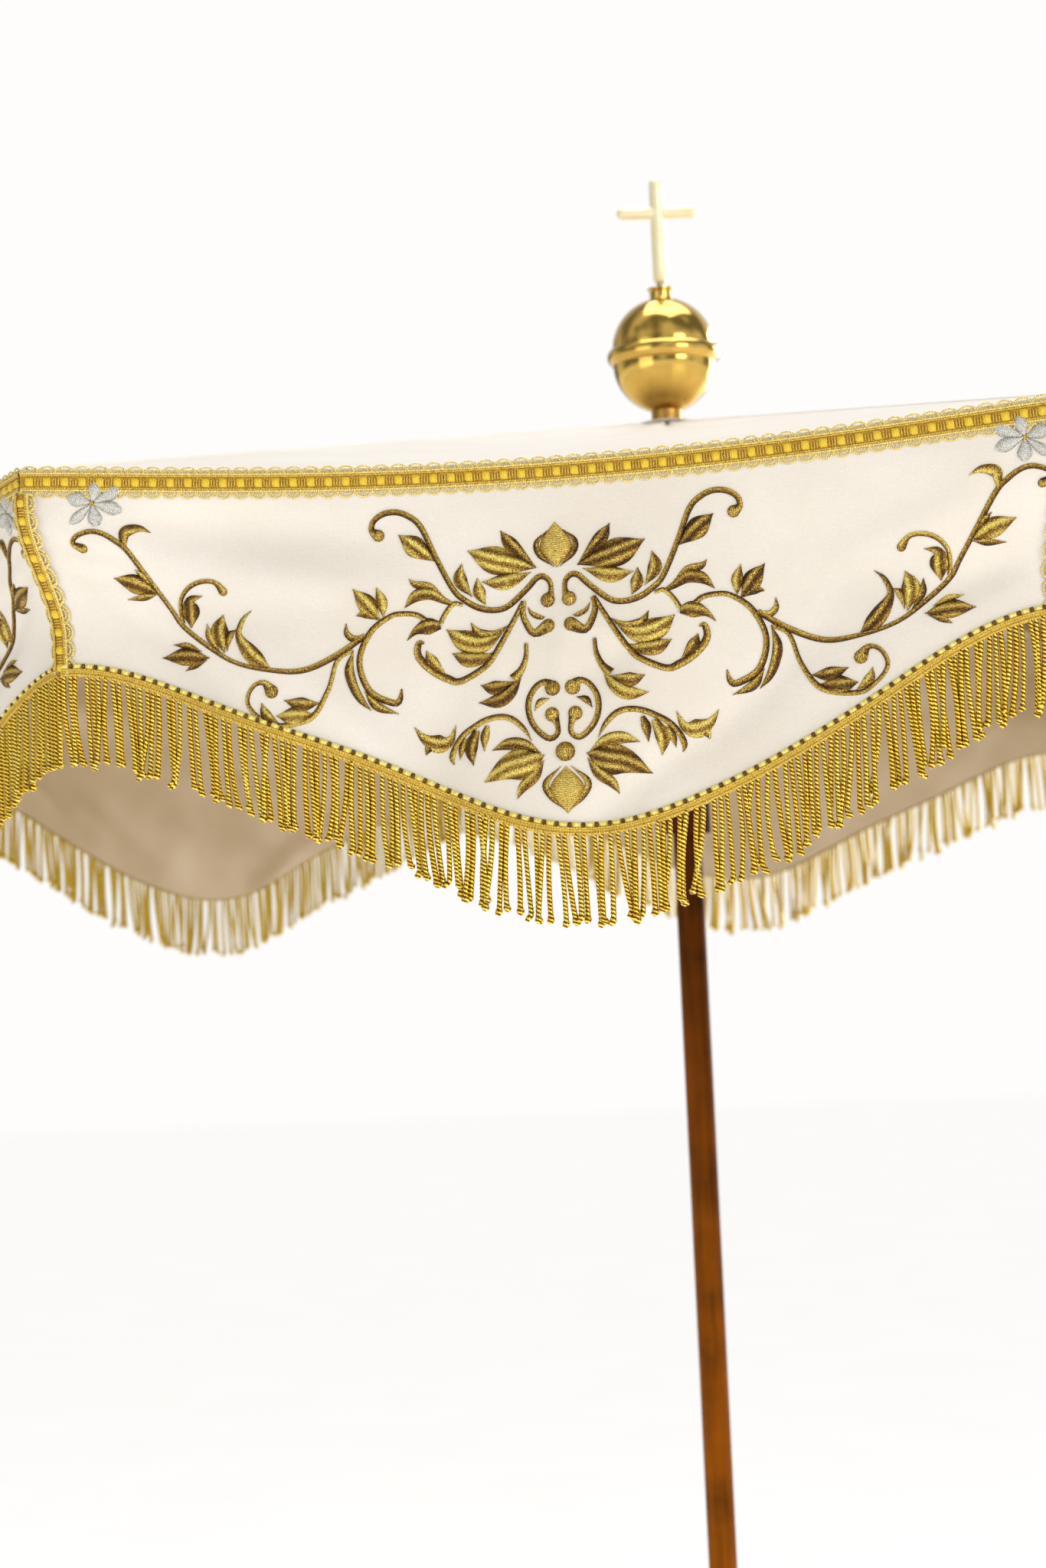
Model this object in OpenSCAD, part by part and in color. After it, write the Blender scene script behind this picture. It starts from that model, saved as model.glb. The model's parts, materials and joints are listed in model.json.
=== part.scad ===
// Processional umbrella canopy with an orb-and-cross finial.
// Eight folding ribs carry an octagonal cloth roof and a hanging scalloped valance. A runner
// on the pole opens and closes them through eight stretchers. The origin is the middle of the
// pole's foot, +Z points up, and the canopy is drawn open. Units are millimetres.

/* [Canopy] */
// Width of one valance panel, from rib tip to rib tip
panel_w = 600; // [580:5:620]
// Height of the rib tips above the foot
rim_z = 1900; // [1880:5:1940]
// Height of the rib pivots above the rib tips
crown_rise = 118; // [112:1:124]
// Depth of the valance where two panels meet
valance_corner = 110; // [95:1:130]
// Depth of the valance in the middle of a panel
valance_middle = 218; // [190:1:240]
// Lean of the valance towards the pole, in degrees
valance_lean = 7.4; // [0:0.1:9]
// Length of the bullion fringe
fringe_l = 60; // [35:1:70]
// Width of the galloon braid
braid_w = 18; // [12:0.5:20]
// Thickness of the lined cloth
cloth_t = 1.2; // [1:0.1:1.4]

/* [Frame] */
// Width of a rib across its sides
rib_w = 5; // [4.6:0.1:5.2]
// Height of a rib's section
rib_h = 7; // [6:0.5:7]
// Distance along a rib from its pivot to the stretcher's rivet
rivet_at = 385; // [375:1:395]
// Distance of the runner's pivot ring below the rib tips
runner_drop = 160; // [150:1:170]
// Diameter of the wire in the two pivot rings
wire_d = 2.4; // [2:0.1:2.6]

/* [Pole] */
// Diameter of the upper pole
upper_d = 22; // [21:0.5:22]
// Diameter of the lower pole
lower_d = 24; // [23:0.5:26]
// Height of the joint between the two halves of the pole
coupling_z = 1000; // [900:10:1040]
// Length of the brass foot
foot_l = 60; // [40:5:80]

/* [Finial] */
// Diameter of the orb's shells
orb_d = 80.5; // [78:0.5:84]
// Height of the bead ring's middle above the rib tips
orb_rise = 181; // [180:1:186]
// Height of the cross
cross_h = 85; // [75:1:95]
// Width of the cross over its arms
cross_w = 64; // [56:1:70]
// Thickness of the cross's upright
cross_d = 10.5; // [9.5:0.5:12]
// Turn of the cross about the pole, in degrees from the front panel
cross_turn = 12; // [0:1:20]

/* [Hidden] */
$fn = 64;

ribs = 8;
step = 360 / ribs;
first_rib = -90 - step / 2;

// Play between neighbouring solids that touch on the real object
gap = 0.1;
// Radial play of a pin or wire that turns
play = 0.05;
// Gap along a seam between two pieces of cloth
seam = 0.5;

apothem = panel_w / 2 / tan(step / 2);
rim_r = panel_w / 2 / sin(step / 2);

// The rib pivots, and how a rib lies when open
crown_r = 20;
crown_z = rim_z + crown_rise;
rib_drop = atan(crown_rise / (rim_r - crown_r));
tip_back = 10;
rib_l = (rim_r - crown_r) / cos(rib_drop) - tip_back;
eye_d = 9;
eye_hole_d = wire_d + 0.6;

// The rivets and the stretchers
rivet_r = crown_r + rivet_at * cos(rib_drop);
rivet_z = crown_z - rivet_at * sin(rib_drop);
rivet_d = 3;
ring_r = 24;
ring_z = rim_z - runner_drop;
stretcher_l = norm([rivet_r - ring_r, rivet_z - ring_z]);
stretcher_rise = atan2(rivet_z - ring_z, rivet_r - ring_r);
stretcher_w = 5;
stretcher_h = 6;
ear_t = 2;
ear_h = 7;
fork_gap = rib_w + 0.6;
fork_w = fork_gap + 2 * ear_t;
fork_l = 66;
bridge_l = 8;

// The crown hub and what sits on it
hub_r = 27;
hub_up = 3;
hub_down = 14;
slot_w = rib_w + 0.6;
pole_top = crown_z + hub_up;

// The cloth roof: a flat gore's slope, and its height above the rib tips
cloth_lift = 5.4;
roof_slope = atan(rim_r * tan(rib_drop) / apothem);
gore_l = apothem / cos(roof_slope);
cloth_hole_r = 13;
roof_top = rim_z + cloth_lift + rim_r * tan(rib_drop) + cloth_t;
valance_top = rim_z + cloth_lift + 2.6;
trim_t = 1.4;
fringe_t = 3;

// The cap and the ferrule between the cloth and the orb
cap_r = 22;
cap_h = 2.3;
cap_z = roof_top - 1.4;
ferrule_r = 11.8;
stud_r = 3;

// The orb
orb_r = orb_d / 2;
shell_t = 1.5;
ring_half = 5.3;
orb_z = rim_z + orb_rise;
bead_r = 7.6;
bead_at = orb_r - 3.2;
ferrule_top = orb_z - ring_half - sqrt(orb_r * orb_r - ferrule_r * ferrule_r) + 0.6;

// The collar and the cross
collar_z = orb_z + ring_half + orb_r - 1.4;
collar_h = 9.5;
collar_r = 8.8;
cross_z = collar_z + collar_h + 3;
arm_d = 9.5;
arm_z = cross_z + cross_h - 27.5;
stud_top = cross_z + 14;

// The coupling and the foot
socket_r = lower_d / 2 + 2;
socket_l = 60;
spigot_l = 45;
plug_r = 9;
plug_l = 21;
foot_floor = 6;

// The runner and its lock screw
runner_r = 18.75;
flange_r = 27.5;
flange_up = 6;
flange_down = 7;
runner_foot = ring_z - 37.5;
sleeve_r = 13;
sleeve_bore = upper_d / 2 + 0.3;
screw_z = runner_foot + 14;
insert_r = 4.5;
insert_in = sleeve_r + 0.4;
insert_out = runner_r + 1;
knob_r = 9;
knob_t = 7;
grips = 12;

// ---- Shared shapes and places ----

// A tube standing on z = 0.
module tube(outer, inner, h) {
    difference() {
        cylinder(r = outer, h = h);
        translate([0, 0, -1]) cylinder(r = inner, h = h + 2);
    }
}

// A round bar along Y, centred on the origin.
module cross_pin(r, l) {
    rotate([90, 0, 0]) cylinder(r = r, h = l, center = true);
}

// Turns its children to rib k's direction about the pole.
module at_rib(k) {
    rotate([0, 0, first_rib + step * (k - 1)]) children();
}

// Turns its children to the middle of the panel between ribs k and k + 1.
module at_panel(k) {
    rotate([0, 0, first_rib + step * (k - 0.5)]) children();
}

// Rib k's own frame: +X runs from its pivot to its tip.
module in_rib(k) {
    at_rib(k) translate([crown_r, 0, crown_z]) rotate([0, rib_drop, 0]) children();
}

// Stretcher k's own frame: +X runs from its rivet to the runner's ring.
module in_stretcher(k) {
    at_rib(k) translate([rivet_r, 0, rivet_z]) rotate([0, 180 - stretcher_rise, 0]) children();
}

// One slot for each rib or stretcher, from the radius r_in outward.
module slots(r_in, z, h) {
    for (k = [1:ribs])
        at_rib(k) translate([r_in, -slot_w / 2, z]) cube([hub_r, slot_w, h]);
}

// A groove around the pole, open to the outside, that seats a pivot ring.
module ring_groove(r, z) {
    groove_r = wire_d / 2 + play;
    translate([0, 0, z]) rotate_extrude() {
        translate([r, 0]) circle(r = groove_r);
        translate([r, -groove_r]) square([hub_r, 2 * groove_r]);
    }
}

// A ring of wire around the pole.
module wire_ring(r, z) {
    translate([0, 0, z]) rotate_extrude() translate([r, 0]) circle(d = wire_d);
}

// Depth of the valance at a distance y from the middle of a panel of half width w.
function valance_depth(y, w) = valance_top - rim_z + valance_corner
    + (valance_middle - valance_corner) * (1 + cos(180 * y / w)) / 2;

// Half the width of a leaning panel of half width w, at a distance s down its face.
function half_width(w, s) = w - s * sin(valance_lean) * tan(step / 2);

// Points along the scalloped hem, from one corner to the other, lowered by drop.
function hem(w, drop, points = 24) = [
    for (i = [0:points])
        let (u = 2 * i / points - 1, s = valance_depth(u * w, w) + drop)
            [u * half_width(w, s), -s]
];

// A hanging sheet x from the pole at its top, from an outline of [y, -distance down] points.
module hanging(outline, x, t) {
    translate([x, 0, valance_top]) rotate([0, valance_lean, 0]) rotate([90, 0, 90])
        linear_extrude(t) polygon(outline);
}

// ---- Finial ----

module finial_cross() {
    color("gold") rotate([0, 0, cross_turn]) difference() {
        union() {
            translate([0, 0, cross_z + cross_d / 2]) {
                cylinder(d = cross_d, h = cross_h - cross_d);
                sphere(d = cross_d);
                translate([0, 0, cross_h - cross_d]) sphere(d = cross_d);
            }
            translate([0, 0, arm_z]) {
                rotate([0, 90, 0]) cylinder(d = arm_d, h = cross_w - arm_d, center = true);
                for (side = [-1, 1])
                    translate([side * (cross_w - arm_d) / 2, 0, 0]) sphere(d = arm_d);
            }
        }
        translate([0, 0, cross_z - 1]) cylinder(r = stud_r + gap, h = stud_top - cross_z + 1.5);
    }
}

module finial_collar() {
    rim = collar_r + 1.5;
    color("gold") difference() {
        translate([0, 0, collar_z]) rotate_extrude() polygon([
            [stud_r + gap, 0], [collar_r + 1.2, 0], [collar_r, 2], [collar_r, collar_h - 3],
            [rim, collar_h - 1], [rim, collar_h], [collar_r - 1.5, collar_h],
            [collar_r - 3, collar_h - 2], [stud_r + gap, collar_h - 2]
        ]);
        translate([0, 0, orb_z + ring_half]) sphere(r = orb_r + gap);
    }
}

// Half of the orb, with its open side at z = 0 and its pole up.
module orb_shell() {
    difference() {
        sphere(r = orb_r);
        sphere(r = orb_r - shell_t);
        translate([0, 0, -orb_d / 2]) cube([orb_d + 2, orb_d + 2, orb_d], center = true);
        cylinder(r = stud_r + gap, h = orb_d);
    }
}

module orb_upper_shell() {
    color("goldenrod") translate([0, 0, orb_z + ring_half + gap]) orb_shell();
}

module orb_lower_shell() {
    color("goldenrod") translate([0, 0, orb_z - ring_half - gap]) mirror([0, 0, 1]) orb_shell();
}

module orb_bead_ring() {
    inner = orb_r - 5;
    color("goldenrod") translate([0, 0, orb_z]) rotate_extrude() {
        translate([inner, -ring_half]) square([5 + 2 * gap, 2 * ring_half]);
        difference() {
            translate([bead_at, 0]) circle(r = bead_r);
            translate([0, -bead_r]) square([orb_r + gap, 2 * bead_r]);
        }
    }
}

module finial_stud() {
    color("silver") translate([0, 0, pole_top - 30]) cylinder(r = stud_r, h = stud_top - pole_top + 30);
}

module top_ferrule() {
    color("goldenrod") difference() {
        translate([0, 0, pole_top + gap]) cylinder(r = ferrule_r, h = ferrule_top - pole_top - gap);
        translate([0, 0, pole_top]) cylinder(r = stud_r + gap, h = 40);
        translate([0, 0, orb_z - ring_half - gap]) sphere(r = orb_r + gap);
    }
}

// ---- Crown ----

module crown_cap() {
    color("ivory") translate([0, 0, cap_z]) rotate_extrude() polygon([
        [ferrule_r + gap, 0], [cap_r, 0], [cap_r, 0.8], [cap_r - 5, cap_h], [ferrule_r + gap, cap_h]
    ]);
}

module crown_hub() {
    color("goldenrod") difference() {
        translate([0, 0, crown_z - hub_down])
            tube(hub_r, upper_d / 2 + gap, hub_up + hub_down);
        slots(crown_r - eye_d / 2 - 0.3, crown_z - hub_down - 1, hub_up + hub_down + 2);
        ring_groove(crown_r, crown_z);
    }
}

module crown_pivot_ring() {
    color("silver") wire_ring(crown_r, crown_z);
}

// ---- Pole ----

module upper_pole() {
    color("sienna") difference() {
        translate([0, 0, coupling_z + 25 + gap])
            cylinder(d = upper_d, h = pole_top - coupling_z - 25 - gap);
        translate([0, 0, pole_top - 30 - gap]) cylinder(r = stud_r + gap, h = 31);
    }
}

module coupling_socket() {
    color("goldenrod") translate([0, 0, coupling_z + gap]) difference() {
        cylinder(r = socket_r, h = socket_l);
        translate([0, 0, -1]) cylinder(r = plug_r + gap, h = plug_l + 2);
        translate([0, 0, 25]) cylinder(r = upper_d / 2 + gap, h = socket_l);
    }
}

module coupling_spigot() {
    color("goldenrod") {
        translate([0, 0, coupling_z - spigot_l]) difference() {
            union() {
                cylinder(r = socket_r, h = spigot_l);
                cylinder(r = plug_r, h = spigot_l + plug_l);
            }
            translate([0, 0, -1]) cylinder(r = lower_d / 2 + gap, h = spigot_l - 4);
        }
    }
}

module lower_pole() {
    color("sienna") translate([0, 0, foot_floor + gap])
        cylinder(d = lower_d, h = coupling_z - 5 - gap - foot_floor - gap);
}

module foot_ferrule() {
    color("goldenrod") difference() {
        cylinder(r = socket_r, h = foot_l);
        translate([0, 0, foot_floor]) cylinder(r = lower_d / 2 + gap, h = foot_l);
    }
}

// ---- Runner ----

module runner_hub() {
    color("saddlebrown") difference() {
        union() {
            translate([0, 0, runner_foot]) cylinder(r = runner_r, h = ring_z - runner_foot);
            translate([0, 0, ring_z - flange_down])
                cylinder(r = flange_r, h = flange_up + flange_down);
            translate([0, 0, ring_z - flange_down - 5])
                cylinder(r1 = runner_r, r2 = flange_r - 1, h = 5.5);
        }
        translate([0, 0, runner_foot - 1]) cylinder(r = sleeve_r + gap, h = 80);
        slots(ring_r - stretcher_h / 2 - 1.3, ring_z - flange_down - 6, 30);
        ring_groove(ring_r, ring_z);
        translate([0, 0, screw_z]) rotate([-90, 0, 0]) cylinder(r = insert_r + gap, h = 40);
    }
}

module runner_sleeve() {
    color("goldenrod") difference() {
        translate([0, 0, runner_foot]) tube(sleeve_r, sleeve_bore, ring_z + flange_up - runner_foot);
        translate([0, 0, screw_z]) rotate([-90, 0, 0]) cylinder(r = stud_r + 0.3, h = 40);
    }
}

module runner_pivot_ring() {
    color("silver") wire_ring(ring_r, ring_z);
}

module thumb_screw_insert() {
    color("goldenrod") translate([0, insert_in, screw_z]) rotate([-90, 0, 0])
        tube(insert_r, stud_r + play, insert_out - insert_in);
}

module thumb_screw() {
    tip = upper_d / 2 + 0.4;
    color("gold") translate([0, tip, screw_z]) rotate([-90, 0, 0]) {
        cylinder(r = stud_r, h = insert_out + 2.5 - tip);
        translate([0, 0, insert_out + 0.5 - tip]) cylinder(r = 5, h = 2);
        translate([0, 0, insert_out + 2.5 - tip]) difference() {
            cylinder(r = knob_r, h = knob_t);
            for (i = [1:grips])
                rotate([0, 0, 360 * i / grips]) translate([knob_r + 0.7, 0, -1])
                    cylinder(r = 1.6, h = knob_t + 2);
        }
    }
}

// ---- Folding frame ----

// A rib, its rivet and its tip cap, three separate solids.
module rib(k) {
    cap_wall = 1;
    cap_l = 20;
    in_rib(k) {
        color("silver") difference() {
            union() {
                translate([0, -rib_w / 2, -rib_h / 2]) cube([rib_l, rib_w, rib_h]);
                cross_pin(eye_d / 2, rib_w);
            }
            cross_pin(eye_hole_d / 2, rib_w + 2);
            translate([rivet_at, 0, 0]) cross_pin(rivet_d / 2 + play, rib_w + 2);
        }
        color("goldenrod") translate([rivet_at, 0, 0]) {
            cross_pin(rivet_d / 2, fork_w + 2);
            for (side = [-1, 1])
                translate([0, side * (fork_w / 2 + 0.8), 0]) cross_pin(rivet_d, 1.2);
        }
        color("goldenrod") translate([rib_l - cap_l, 0, 0]) difference() {
            union() {
                translate([0, -rib_w / 2 - cap_wall, -rib_h / 2 - cap_wall])
                    cube([cap_l + 1, rib_w + 2 * cap_wall, rib_h + 2 * cap_wall]);
                translate([cap_l + 1, 0, 0]) sphere(d = rib_h + 2);
            }
            translate([-1, -rib_w / 2 - play, -rib_h / 2 - play])
                cube([cap_l + 1 + play, rib_w + 2 * play, rib_h + 2 * play]);
        }
    }
}

// A stretcher: a fork that straddles the rib, and a bar down to the runner's ring.
module stretcher(k) {
    in_stretcher(k) color("silver") difference() {
        union() {
            for (side = [-1, 1]) translate([0, side * (fork_gap + ear_t) / 2, 0]) {
                cross_pin(ear_h / 2, ear_t);
                translate([0, -ear_t / 2, -ear_h / 2]) cube([fork_l + bridge_l, ear_t, ear_h]);
            }
            translate([fork_l, -fork_w / 2, -ear_h / 2]) cube([bridge_l, fork_w, ear_h]);
            translate([fork_l, -stretcher_w / 2, -stretcher_h / 2])
                cube([stretcher_l - fork_l, stretcher_w, stretcher_h]);
            translate([stretcher_l, 0, 0]) cross_pin(stretcher_h / 2 + 0.5, stretcher_w);
        }
        cross_pin(rivet_d / 2 + play, fork_w + 2);
        translate([stretcher_l, 0, 0]) cross_pin(eye_hole_d / 2, stretcher_w + 2);
    }
}

// ---- Cloth and trims ----

// One flat gore of the roof, between ribs k and k + 1.
module roof_gore(k) {
    inner_x = -gore_l + cloth_hole_r / cos(roof_slope);
    outer_w = panel_w / 2 - seam;
    inner_w = cloth_hole_r * tan(step / 2) - seam;
    color("ivory") at_panel(k) translate([apothem, 0, rim_z + cloth_lift])
        rotate([0, roof_slope, 0]) linear_extrude(cloth_t)
            polygon([[0, -outer_w], [0, outer_w], [inner_x, inner_w], [inner_x, -inner_w]]);
}

// One hanging panel of the valance, with its scalloped hem.
module valance_panel(k) {
    w = panel_w / 2 - seam;
    color("ivory") at_panel(k)
        hanging(concat(hem(w, 0), [[w, 0], [-w, 0]]), apothem + seam, cloth_t);
}

// The trims of one panel: the braid along its top, the fringe along its hem, and the braid on
// the seam at rib k, three separate solids.
module valance_trim(k) {
    w = panel_w / 2 - seam;
    low_w = half_width(w, braid_w);
    upper = hem(w, gap);
    lower = hem(w, fringe_l);
    seam_top = braid_w + 2;
    seam_l = valance_corner + valance_top - rim_z - seam_top - 2;
    color("gold") {
        at_panel(k) {
            hanging([[-low_w, -braid_w], [low_w, -braid_w], [w, 0], [-w, 0]],
                apothem + seam + cloth_t + gap, trim_t);
            hanging(concat(lower, [for (i = [len(upper) - 1:-1:0]) upper[i]]),
                apothem + seam, fringe_t);
        }
        at_rib(k) translate([rim_r + 3.2, 0, valance_top])
            rotate([0, atan(tan(valance_lean) / cos(step / 2)), 0])
                translate([0, -braid_w / 2, -seam_top - seam_l]) cube([trim_t, braid_w, seam_l]);
    }
}

finial_cross();
finial_collar();
orb_upper_shell();
orb_bead_ring();
orb_lower_shell();
finial_stud();
top_ferrule();
crown_cap();
crown_hub();
crown_pivot_ring();
upper_pole();
coupling_socket();
coupling_spigot();
lower_pole();
foot_ferrule();
runner_hub();
runner_sleeve();
runner_pivot_ring();
thumb_screw();
thumb_screw_insert();
for (k = [1:ribs]) {
    rib(k);
    stretcher(k);
    roof_gore(k);
    valance_panel(k);
    valance_trim(k);
}
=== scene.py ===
"""Processional umbrella canopy: satin, embroidery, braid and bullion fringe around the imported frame.

Lengths of the cloth and its trims are in millimetres and become metres when a mesh is made. Each of
the eight panels hangs between two ribs: panel k starts at rib k, ends at rib k + 1 and rides on rib k.
"""
import json
import math
import bpy
import numpy as np
from mathutils import Matrix, Vector

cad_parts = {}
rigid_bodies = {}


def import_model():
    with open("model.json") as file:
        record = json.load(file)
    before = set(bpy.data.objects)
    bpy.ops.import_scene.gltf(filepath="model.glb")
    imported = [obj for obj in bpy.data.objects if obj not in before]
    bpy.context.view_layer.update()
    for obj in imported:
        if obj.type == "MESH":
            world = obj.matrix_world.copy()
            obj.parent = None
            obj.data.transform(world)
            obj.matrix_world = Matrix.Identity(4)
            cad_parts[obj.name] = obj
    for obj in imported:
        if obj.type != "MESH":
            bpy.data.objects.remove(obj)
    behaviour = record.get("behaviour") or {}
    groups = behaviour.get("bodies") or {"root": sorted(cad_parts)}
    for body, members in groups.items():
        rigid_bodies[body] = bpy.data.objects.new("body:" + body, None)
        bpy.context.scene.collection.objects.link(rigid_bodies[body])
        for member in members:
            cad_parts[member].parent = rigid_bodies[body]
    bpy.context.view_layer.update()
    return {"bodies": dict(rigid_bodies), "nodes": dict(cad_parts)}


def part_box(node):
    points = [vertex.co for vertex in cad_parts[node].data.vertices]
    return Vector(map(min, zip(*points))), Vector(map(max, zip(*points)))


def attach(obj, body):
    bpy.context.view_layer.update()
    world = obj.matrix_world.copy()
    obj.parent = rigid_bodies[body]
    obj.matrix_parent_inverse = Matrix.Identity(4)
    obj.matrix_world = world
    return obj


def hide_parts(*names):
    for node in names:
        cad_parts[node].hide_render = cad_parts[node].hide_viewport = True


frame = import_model()

MM = 0.001
PANELS = 8
STEP = 2 * math.pi / PANELS

# How the cloth sits on the ribs
CLOTH_T = 1.2
CLOTH_LIFT = 5.4
SEAM_GAP = 0.5
HOLE_R = 13
CAP_LAP = 1.4

# Cloth nearer to the pole than CROWN_HELD stays with it, and beyond CROWN_FREE follows the ribs
CROWN_HELD = 28
CROWN_FREE = 54

# The welt over a roof seam
SEAM_W = 5.2
SEAM_START = 24
SEAM_TAPER = 30
SEAM_RISE = 1.1
SEAM_SINK = 0.25

# Sizes taken from the frame
gore_low, gore_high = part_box("roof_gore_1")
valance_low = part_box("valance_panel_1")[0]
HALF = gore_high.x / MM + SEAM_GAP
APOTHEM = HALF / math.tan(STEP / 2)
RIM_R = HALF / math.sin(STEP / 2)
RIM_Z = gore_low.z / MM - CLOTH_LIFT
APEX_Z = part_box("crown_cap")[0].z / MM + CAP_LAP
MIDDLE = RIM_Z - valance_low.z / MM
CORNER = 110

# The fold between roof and valance: above the rim at the ribs, slack and pulled in between them
FOLD_RISE = 7
FOLD_SAG = 12
FOLD_CURVE = 1.3
FOLD_PULL = 22
LEAN = 0.129
SEAM_TUCK = 30
TUCK_START = 15
TUCK_LENGTH = 75

# Gathers of the roof near the crown
GATHER_H = 2.6
GATHER_REACH = 0.2
GATHER_WAVES = 4.5

# The scallop of the hem: its main swing as a share of its depth, and the smaller waves on it
HEM_SWING = 0.475
HEM_LIFT = 2.5
HEM_EVEN = (-2, 3)
HEM_ODD = (9, 3)

# Waves of the hanging cloth: depth, length and slant of each
SLOW_WAVE = (3.4, 31, 0.012)
QUICK_WAVE = (1.0, 13.5, -0.03)

# How far folded cloth stands out, as a share of the way that its ribs moved
BILLOW = 0.1

# Braid, fringe and embroidery
BRAID_W = 18
CORE_W = 11
BRAID_PITCH = 10.2
BRAID_DROP = 7.5
BRIGHT_SQUARE = (5.2, 5.8, 1.7)
CROSS_THREAD = (1.15, 6.2, 1.2)
HEADER_W = 7.5
HEADER_TOP = 1.6
HEADER_PITCH = 7.4
FRINGE_L = 53
FRINGE_START = 1.8
FRINGE_END = 1.5
FRINGE_TUCK = 1.5
STRAND_SPACING = (3.3, 4.2)
BUNDLE_GAP = (0.4, 3.4)
STRAND_R = 1.6
STRAND_SIDES = 6
LAY = 2.3
MOTIF_SHIFT = 7.5
MOTIF_RISE = 1.5


# -------------------- the cloth's surface

def smooth_step(v):
    v = np.clip(v, 0, 1)
    return v * v * (3 - 2 * v)


def seam_tuck(d):
    """How far a corner seam has moved towards the pole at depth d below the rim."""
    return SEAM_TUCK * smooth_step((d - TUCK_START) / TUCK_LENGTH)


def half_width(d):
    return HALF - seam_tuck(d) * math.sin(STEP / 2)


def fold_depth(u):
    return -FOLD_RISE + FOLD_SAG * np.maximum(1 - u * u, 0) ** FOLD_CURVE


def hem_depth(u):
    """One scallop: nearly straight flanks, rounded below, and fuller towards the next rib."""
    turn = math.pi * u
    swing = HEM_SWING * (MIDDLE - CORNER) * np.cos(turn)
    even = swing + HEM_EVEN[0] * np.cos(2 * turn) + HEM_EVEN[1] * np.cos(3 * turn)
    odd = HEM_ODD[0] * np.sin(turn) + HEM_ODD[1] * np.sin(2 * turn)
    return (MIDDLE + CORNER) / 2 - HEM_LIFT + even + odd


# Soft folds pressed into one panel: place along it, depth below the rim, half length, half width,
# fall to the right, and depth of the fold. Every second panel has them mirrored.
FOLDS = [(-185, 33, 85, 15, 0.14, 6.5), (-150, 66, 60, 13, 0.1, -3.0), (-276, 40, 26, 5, 0.25, 3.6),
         (-272, 55, 26, 4.5, 0.3, 3.2), (-240, 88, 50, 13, 0.9, 4.2), (262, 84, 42, 13, -0.35, 6.5),
         (215, 60, 60, 14, -0.3, -3.2), (-66, 156, 15, 38, 0.15, 5.5), (56, 190, 40, 12, -0.7, 5.4),
         (8, 112, 8, 22, 0.1, -2.6), (22, 100, 14, 7, 0.4, -2.2), (120, 150, 50, 15, -0.9, 3.0),
         (-130, 140, 40, 14, 0.8, -2.6), (40, 122, 22, 9, -0.5, 2.6), (-30, 118, 10, 20, -0.2, -2.2)]


def wave(kind, x, d, shift):
    depth, length, slant = kind
    return depth * np.sin(x / length + slant * d + shift)


def ripple(k, u, d):
    """Soft folds of the hanging cloth, nought along the seams."""
    x = HALF * u
    mirror = -1 if k % 2 == 0 else 1
    strength = 0.8 + 0.25 * math.sin(2.3 * k)
    pressed = 0.0
    for at_x, at_d, long_half, wide_half, fall, depth in FOLDS:
        over = mirror * x - at_x
        down = d - at_d - fall * over
        pressed = pressed + depth * np.exp(-(over / long_half) ** 2 - (down / wide_half) ** 2)
    waves = wave(SLOW_WAVE, x, d, 1.9 * k) + wave(QUICK_WAVE, x, d, 4.4 * k)
    hang = waves * smooth_step((d - 12) / 110) * (1 - u ** 4)
    return hang + strength * pressed * (1 - u ** 8) * smooth_step((d - 6) / 20)


def inset(k, u, d):
    """Distance of the valance behind the straight line between two rib tips."""
    middle = FOLD_PULL * (1 - d / MIDDLE) + LEAN * d
    seam = math.cos(STEP / 2) * seam_tuck(d)
    return (1 - u * u) * middle + u * u * seam + ripple(k, u, d)


def directions(k):
    """The outward direction of panel k, and its direction from rib k to rib k + 1."""
    turn = -math.pi / 2 + STEP * (k - 1)
    outward = np.array([math.cos(turn), math.sin(turn), 0])
    along = np.array([-math.sin(turn), math.cos(turn), 0])
    return outward, along


def place(k, radial, x, z):
    """Points from their distance to the pole's axis, their place along the panel and their height."""
    outward, along = directions(k)
    points = np.multiply.outer(radial, outward) + np.multiply.outer(x, along)
    points[..., 2] += z
    return points


def valance_point(k, x, d, out=0.0):
    x, d, out = np.broadcast_arrays(np.asarray(x, float), np.asarray(d, float), out)
    u = x / half_width(d)
    return place(k, APOTHEM - inset(k, u, d) + out, x, RIM_Z - d)


def fold_point(k, u):
    d = fold_depth(u)
    return valance_point(k, u * half_width(d), d)


def roof_point(k, u, s):
    """Straight lines from the apex, s = 0, to the fold, s = 1."""
    apex = np.array([0, 0, APEX_Z])
    points = apex + s[..., None] * (fold_point(k, u) - apex)
    gather = GATHER_H * np.exp(-s / GATHER_REACH) * smooth_step(s / 0.05)
    points[..., 2] += gather * (1 - u * u) * np.sin(GATHER_WAVES * math.pi * u + k)
    return points


def panel_share(x, d):
    return np.clip(x / half_width(d), -1, 1)


# -------------------- meshes from grids of quads

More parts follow.
